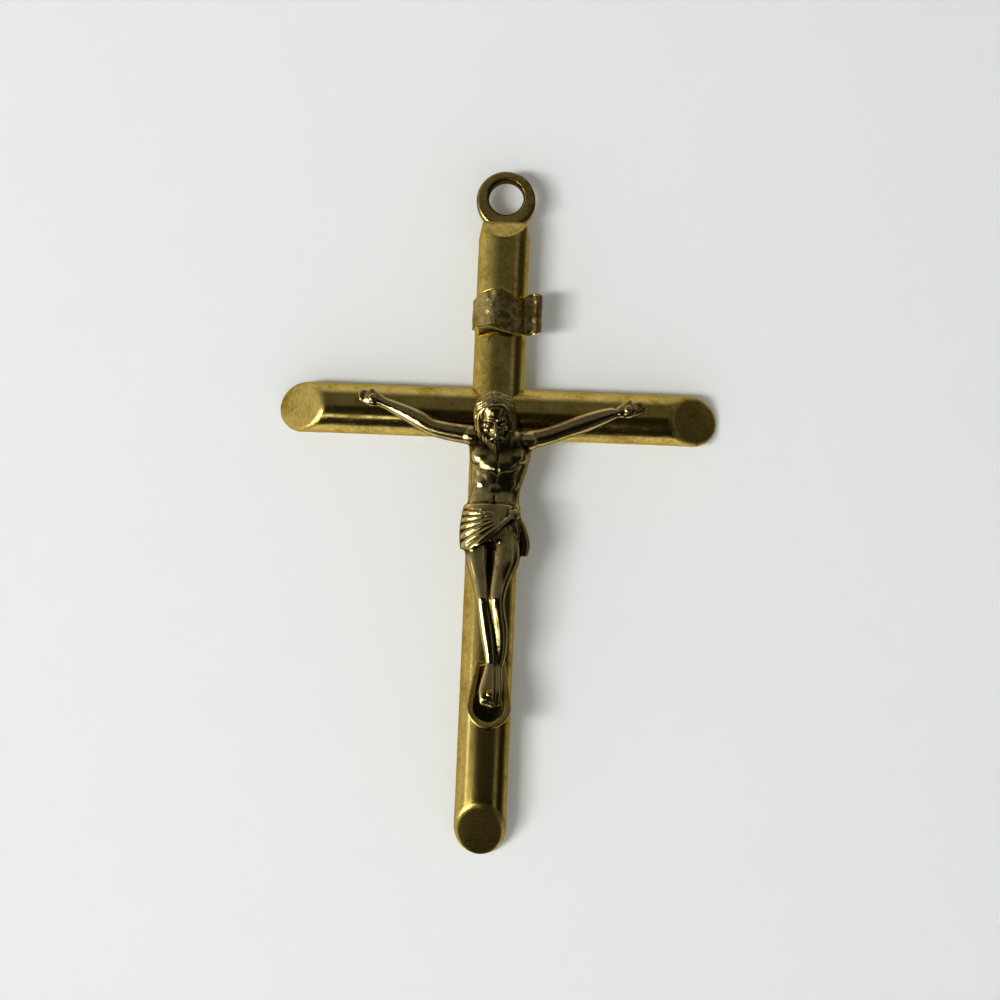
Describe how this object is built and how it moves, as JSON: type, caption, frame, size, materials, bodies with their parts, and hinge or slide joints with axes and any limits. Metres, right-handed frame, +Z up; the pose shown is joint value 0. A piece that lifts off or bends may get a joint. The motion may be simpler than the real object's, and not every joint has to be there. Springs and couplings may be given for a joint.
{
  "type": "hanging crucifix pendant",
  "caption": "Hanging crucifix of round metal tube with mitred ends, a cast figure, a bare curled scroll, a footrest and a ring eye at the top.",
  "frame": {"origin": "centre of the hole in the hanging eye", "axes": "+Z up along the upright, +X to the right seen from the front, and the front with the figure faces -Y"},
  "size_m": [0.0288, 0.006, 0.045],
  "materials": {
    "tube_metal": "polished, with dark tarnish",
    "cap_metal": "satin, with fine scratches",
    "cast_metal": "worn bright on high places and dark in the hollows",
    "nail_metal": "polished"
  },
  "bodies": {
    "root": {"upright_tube": "tube_metal", "left_arm_tube": "tube_metal", "right_arm_tube": "tube_metal", "left_end_cap": "cap_metal", "right_end_cap": "cap_metal", "lower_end_cap": "cap_metal", "hanging_eye": "tube_metal", "scroll_plaque": "cast_metal", "corpus": "cast_metal", "footrest": "cast_metal", "left_hand_nail": "nail_metal", "right_hand_nail": "nail_metal", "foot_nail": "nail_metal"}
  },
  "joints": []
}
